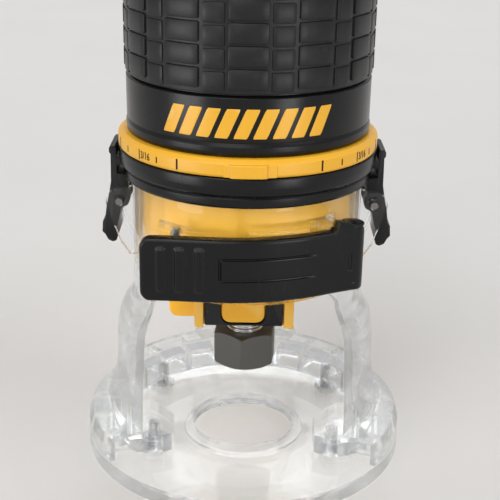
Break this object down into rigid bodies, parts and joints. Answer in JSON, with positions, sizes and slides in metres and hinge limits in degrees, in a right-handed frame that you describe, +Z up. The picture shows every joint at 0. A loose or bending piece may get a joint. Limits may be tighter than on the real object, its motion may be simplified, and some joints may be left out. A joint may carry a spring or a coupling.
{
  "type": "trim router",
  "caption": "Compact hand-held trim router: a round motor held in a clear fixed base with a front clamp lever, side latches and a turning depth ring.",
  "frame": {"origin": "on the spindle axis, at the underside of the sub-base", "axes": "+Z up along the spindle axis, -Y towards the clamp lever and the switch, +X to the lever's hinge side"},
  "size_m": [0.0936, 0.0936, 0.203],
  "materials": {
    "clear_plastic": "clear polished polycarbonate",
    "yellow_plastic": "satin moulded",
    "black_plastic": "semi-gloss moulded",
    "black_rubber": "matte overmould",
    "black_oxide": "black oxide",
    "steel": "ground",
    "spindle_chrome": "polished",
    "spring_steel": "drawn wire",
    "lamination": "stacked sheet",
    "copper": "enamelled wire",
    "brass": "drawn",
    "carbon": "pressed carbon",
    "circuit": "potted board"
  },
  "bodies": {
    "base": {"base_housing": "clear_plastic", "sub_base": "clear_plastic", "sub_base_screw_1": "steel", "sub_base_screw_2": "steel", "sub_base_screw_3": "steel", "sub_base_screw_4": "steel", "clamp_strap": "steel", "lever_pivot_pin": "steel", "strap_anchor_pin": "steel", "left_latch_pin": "steel", "left_latch_spring": "spring_steel", "right_latch_pin": "steel", "right_latch_spring": "spring_steel", "ring_carrier": "black_plastic"},
    "lever": {"clamp_lever": "black_plastic"},
    "latch_left": {"left_latch": "black_plastic"},
    "latch_right": {"right_latch": "black_plastic"},
    "ring": {"depth_ring": "yellow_plastic"},
    "motor": {"motor_housing": "black_plastic", "grip_sleeve": "black_rubber", "nose_housing": "yellow_plastic", "nose_cover": "black_plastic", "lock_spring": "spring_steel", "top_cap": "yellow_plastic", "switch_body": "black_plastic", "speed_control": "circuit", "cord_gland": "black_rubber", "cap_screw_1": "steel", "cap_screw_2": "steel", "cap_screw_3": "steel", "bearing_bridge": "black_plastic", "lower_bearing_outer": "steel", "upper_bearing_outer": "steel", "stator_core": "lamination", "field_coil_front": "copper", "field_coil_rear": "copper", "brush_holder_left": "brass", "brush_holder_right": "brass", "carbon_brush_left": "carbon", "carbon_brush_right": "carbon", "brush_spring_left": "spring_steel", "brush_spring_right": "spring_steel"},
    "rotor": {"spindle": "spindle_chrome", "collet": "steel", "collet_nut": "black_oxide", "lock_collar": "steel", "cooling_fan": "black_plastic", "armature_core": "lamination", "armature_winding": "copper", "commutator": "copper", "lower_bearing_inner": "steel", "lower_bearing_balls": "steel", "upper_bearing_inner": "steel", "upper_bearing_balls": "steel"},
    "lock_button": {"spindle_lock_button": "yellow_plastic"},
    "rocker": {"switch_rocker": "black_plastic"},
    "dial": {"speed_dial": "black_plastic"}
  },
  "joints": [
    {"name": "motor_depth_slide", "type": "slide", "parent": "base", "child": "motor", "axis": [0, 0, 1], "range_m": [0, 0.01905]},
    {"name": "depth_ring_turn", "type": "hinge", "parent": "base", "child": "ring", "pos_m": [0, 0, 0.09475], "axis": [0, 0, 1], "range_deg": [0, 541]},
    {"name": "rotor_spin", "type": "hinge", "parent": "motor", "child": "rotor", "pos_m": [0, 0, 0.066], "axis": [0, 0, 1], "continuous": true},
    {"name": "spindle_lock_press", "type": "slide", "parent": "motor", "child": "lock_button", "axis": [0, 1, 0], "range_m": [0, 0.0016], "stiffness_N_per_m": 400, "springref_m": -0.001, "deforming": ["lock_spring"]},
    {"name": "switch_rock", "type": "hinge", "parent": "motor", "child": "rocker", "pos_m": [0, -0.0315, 0.1785], "axis": [1, 0, 0], "range_deg": [0, 12]},
    {"name": "speed_dial_turn", "type": "hinge", "parent": "motor", "child": "dial", "pos_m": [0, -0.011, 0.2], "axis": [0, 0, 1], "range_deg": [0, 280]},
    {"name": "clamp_lever_swing", "type": "hinge", "parent": "base", "child": "lever", "pos_m": [0.0279, -0.0229, 0.0698], "axis": [0, 0, 1], "range_deg": [0, 100]},
    {"name": "left_latch_pivot", "type": "hinge", "parent": "base", "child": "latch_left", "pos_m": [-0.0353, 0, 0.077], "axis": [0, -1, 0], "range_deg": [0, 13], "stiffness_Nm_per_rad": 0.05, "springref_deg": -11.46},
    {"name": "right_latch_pivot", "type": "hinge", "parent": "base", "child": "latch_right", "pos_m": [0.0353, 0, 0.077], "axis": [0, 1, 0], "range_deg": [0, 13], "stiffness_Nm_per_rad": 0.05, "springref_deg": -11.46}
  ],
  "couplings": [
    {"joint": "depth_ring_turn", "follows": "motor_depth_slide", "rad_per_m": 494.74}
  ]
}
